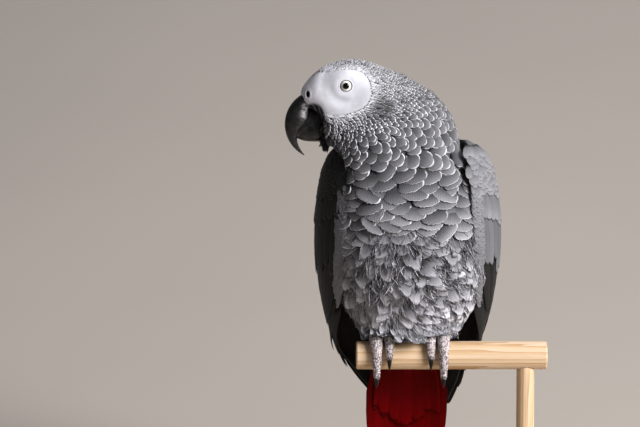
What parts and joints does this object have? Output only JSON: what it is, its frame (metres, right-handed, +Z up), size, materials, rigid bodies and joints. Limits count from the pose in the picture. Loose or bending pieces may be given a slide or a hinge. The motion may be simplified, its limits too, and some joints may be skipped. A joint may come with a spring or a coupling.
{
  "type": "grey parrot on a perch",
  "caption": "Life-size still model of a grey parrot with a red tail and a black hooked bill, gripping a short round wooden perch on a plain display stand.",
  "frame": {"origin": "centre of the underside of the display stand's flat base", "axes": "+Z up; the perch runs along X; the bird's breast faces -Y and its turned head points its bill along -X"},
  "size_m": [0.2068, 0.1394, 0.3145],
  "materials": {
    "grey_feather": "grey contour feathers with pale silver edges, matt",
    "face_feather": "small pale scalloped head feathers and bare white facial skin, matt",
    "dark_feather": "blackish flight feathers, close vanes with a slight sheen",
    "red_feather": "dark red tail feathers, close vanes with a slight sheen",
    "horn": "black keratin, satin, slightly flaked",
    "foot_scale": "pinkish grey pebbled scales with dark skin between them",
    "iris": "wet glossy eye, pale iris round a black pupil",
    "pine": "smooth sanded pine with a clear satin finish and lengthwise grain"
  },
  "bodies": {
    "root": {"bill_lower": "horn", "bill_upper": "horn", "claw_left_inner_back": "horn", "claw_left_inner_front": "horn", "claw_left_outer_back": "horn", "claw_left_outer_front": "horn", "claw_right_inner_back": "horn", "claw_right_inner_front": "horn", "claw_right_outer_back": "horn", "claw_right_outer_front": "horn", "eye_left": "iris", "eye_right": "iris", "foot_left": "foot_scale", "foot_right": "foot_scale", "head": "face_feather", "neck": "grey_feather", "perch": "pine", "primaries_left": "dark_feather", "primaries_right": "dark_feather", "stand_base": "pine", "stand_rod": "pine", "tail": "red_feather", "thigh_left": "grey_feather", "thigh_right": "grey_feather", "trunk": "grey_feather", "wing_left": "grey_feather", "wing_right": "grey_feather"}
  },
  "joints": []
}
